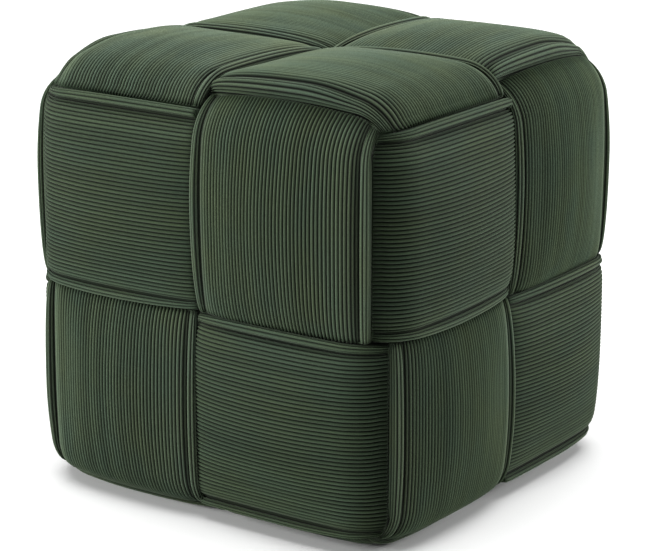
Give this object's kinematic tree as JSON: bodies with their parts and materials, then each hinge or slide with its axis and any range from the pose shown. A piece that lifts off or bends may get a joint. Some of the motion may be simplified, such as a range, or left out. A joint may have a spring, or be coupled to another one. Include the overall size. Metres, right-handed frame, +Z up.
{
  "type": "cube pouf stool",
  "caption": "Low cube pouf of padded corduroy bands woven over and under each other, used as a stool or footrest.",
  "frame": {"origin": "middle of the underside, on the floor that the pouf stands on", "axes": "+Z up; the four upright sides face +X, -X, +Y and -Y"},
  "size_m": [0.4302, 0.4302, 0.4141],
  "materials": {
    "corduroy_x_pos": "dark green wide-wale corduroy, ribs along the band, soft brushed nap",
    "corduroy_x_neg": "dark green wide-wale corduroy, ribs along the band, soft brushed nap",
    "corduroy_y_neg": "dark green wide-wale corduroy, ribs along the band, soft brushed nap",
    "corduroy_y_pos": "dark green wide-wale corduroy, ribs along the band, soft brushed nap",
    "corduroy_z_upper": "dark green wide-wale corduroy, ribs along the band, soft brushed nap",
    "corduroy_z_lower": "dark green wide-wale corduroy, ribs along the band, soft brushed nap"
  },
  "bodies": {
    "root": {"band_x_pos": "corduroy_x_pos", "band_x_neg": "corduroy_x_neg", "band_y_neg": "corduroy_y_neg", "band_y_pos": "corduroy_y_pos", "band_z_upper": "corduroy_z_upper", "band_z_lower": "corduroy_z_lower"}
  },
  "joints": []
}
